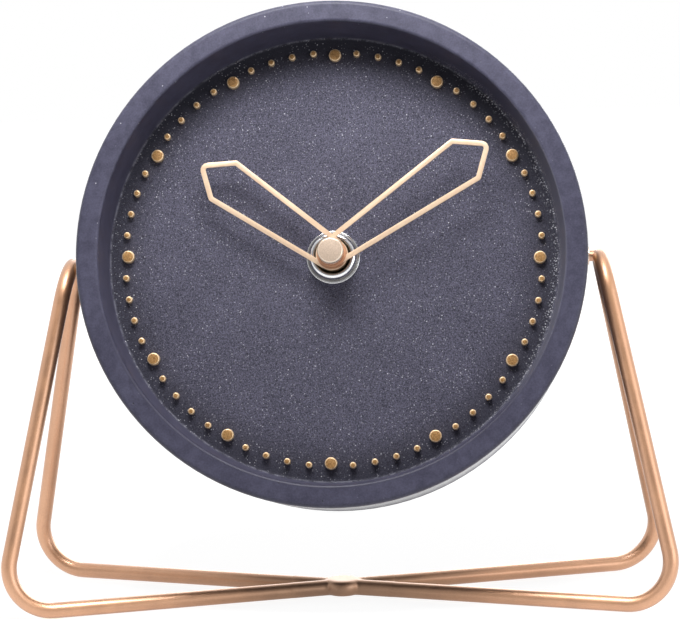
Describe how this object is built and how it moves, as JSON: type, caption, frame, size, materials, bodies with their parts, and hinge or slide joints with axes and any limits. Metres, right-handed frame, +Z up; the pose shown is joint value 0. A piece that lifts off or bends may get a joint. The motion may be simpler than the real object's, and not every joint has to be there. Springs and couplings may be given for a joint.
{
  "type": "table clock",
  "caption": "Round table clock with a deep cast drum and open outline hands, which tilts on studs in a folded wire stand, with its quartz movement in the back.",
  "frame": {"origin": "on the table top, under the weld nugget where the base rods cross", "axes": "+X to the right of someone who reads the dial and along the tilting axis, +Y away from them, +Z up; the dial faces -Y and leans back 14 degrees"},
  "size_m": [0.1712, 0.0675, 0.1549],
  "materials": {
    "copper_wire": "satin",
    "cast_stone": "matte",
    "brass": "satin",
    "marker_bronze": "satin",
    "bright_nut": "polished",
    "rose_hand": "satin",
    "champagne_cap": "satin",
    "gasket_rubber": "matte",
    "black_plastic": "satin",
    "cell_can": "satin",
    "bright_steel": "satin",
    "lamination": "satin",
    "magnet": "satin",
    "board": "satin",
    "coil_copper": "satin",
    "natural_plastic": "satin"
  },
  "bodies": {
    "stand": {"stand_wire_left": "copper_wire", "stand_wire_right": "copper_wire", "stand_weld": "copper_wire", "pivot_stud_left": "copper_wire", "pivot_stud_right": "copper_wire", "pivot_washer_left": "copper_wire", "pivot_washer_right": "copper_wire"},
    "case": {"case": "cast_stone", "pivot_bush_left": "brass", "pivot_bush_right": "brass", "hour_studs": "marker_bronze", "minute_studs": "marker_bronze", "dial_washer": "bright_nut", "dial_nut": "bright_nut", "movement_gasket": "gasket_rubber", "threaded_bush": "brass", "movement_front": "black_plastic", "movement_rear": "black_plastic", "battery": "cell_can", "battery_contact_plus": "bright_steel", "battery_contact_minus": "bright_steel", "circuit_board": "board", "quartz_can": "bright_steel", "stator": "lamination", "coil_core": "lamination", "coil_bobbin": "natural_plastic", "coil_winding": "coil_copper"},
    "minute": {"minute_pipe": "brass", "clutch_spring": "bright_steel", "minute_hand": "rose_hand", "hand_cap": "champagne_cap"},
    "hour": {"hour_wheel": "natural_plastic", "hour_hand": "rose_hand"},
    "minute_wheel": {"minute_wheel": "natural_plastic"},
    "setting": {"setting_shaft": "natural_plastic", "setting_knob": "black_plastic"},
    "rotor": {"rotor_magnet": "magnet", "rotor_pinion": "natural_plastic"},
    "fifth_wheel": {"fifth_wheel": "natural_plastic"},
    "fourth_wheel": {"fourth_wheel": "natural_plastic"},
    "third_wheel": {"third_wheel": "natural_plastic"},
    "centre_wheel": {"centre_wheel": "brass"}
  },
  "joints": [
    {"name": "case_tilt", "type": "hinge", "parent": "stand", "child": "case", "pos_m": [0, 0, 0.088], "axis": [1, 0, 0], "continuous": true},
    {"name": "minute_turn", "type": "hinge", "parent": "case", "child": "minute", "pos_m": [0, 0, 0.088], "axis": [0, -0.9703, 0.2419], "continuous": true},
    {"name": "hour_turn", "type": "hinge", "parent": "case", "child": "hour", "pos_m": [0, 0, 0.088], "axis": [0, -0.9703, 0.2419], "continuous": true},
    {"name": "minute_wheel_turn", "type": "hinge", "parent": "case", "child": "minute_wheel", "pos_m": [0.00725, -0.00082, 0.08472], "axis": [0, -0.9703, 0.2419], "continuous": true},
    {"name": "setting_turn", "type": "hinge", "parent": "case", "child": "setting", "pos_m": [0.01477, -0.00016, 0.08737], "axis": [0, -0.9703, 0.2419], "continuous": true},
    {"name": "rotor_turn", "type": "hinge", "parent": "case", "child": "rotor", "pos_m": [-0.01438, 0.00201, 0.09605], "axis": [0, -0.9703, 0.2419], "continuous": true},
    {"name": "fifth_wheel_turn", "type": "hinge", "parent": "case", "child": "fifth_wheel", "pos_m": [-0.00831, 0.00116, 0.09266], "axis": [0, -0.9703, 0.2419], "continuous": true},
    {"name": "fourth_wheel_turn", "type": "hinge", "parent": "case", "child": "fourth_wheel", "pos_m": [0, 0, 0.088], "axis": [0, -0.9703, 0.2419], "continuous": true},
    {"name": "third_wheel_turn", "type": "hinge", "parent": "case", "child": "third_wheel", "pos_m": [0.0048, 0.00201, 0.09607], "axis": [0, -0.9703, 0.2419], "continuous": true},
    {"name": "centre_wheel_turn", "type": "hinge", "parent": "case", "child": "centre_wheel", "pos_m": [0, 0, 0.088], "axis": [0, -0.9703, 0.2419], "continuous": true}
  ],
  "couplings": [
    {"joint": "hour_turn", "follows": "minute_turn", "ratio": 0.083333},
    {"joint": "minute_wheel_turn", "follows": "minute_turn", "ratio": -0.33333},
    {"joint": "setting_turn", "follows": "minute_turn", "ratio": 1},
    {"joint": "fifth_wheel_turn", "follows": "rotor_turn", "ratio": -0.16667},
    {"joint": "fourth_wheel_turn", "follows": "rotor_turn", "ratio": 0.033333},
    {"joint": "third_wheel_turn", "follows": "rotor_turn", "ratio": -0.0044444},
    {"joint": "centre_wheel_turn", "follows": "rotor_turn", "ratio": 0.00055556}
  ]
}
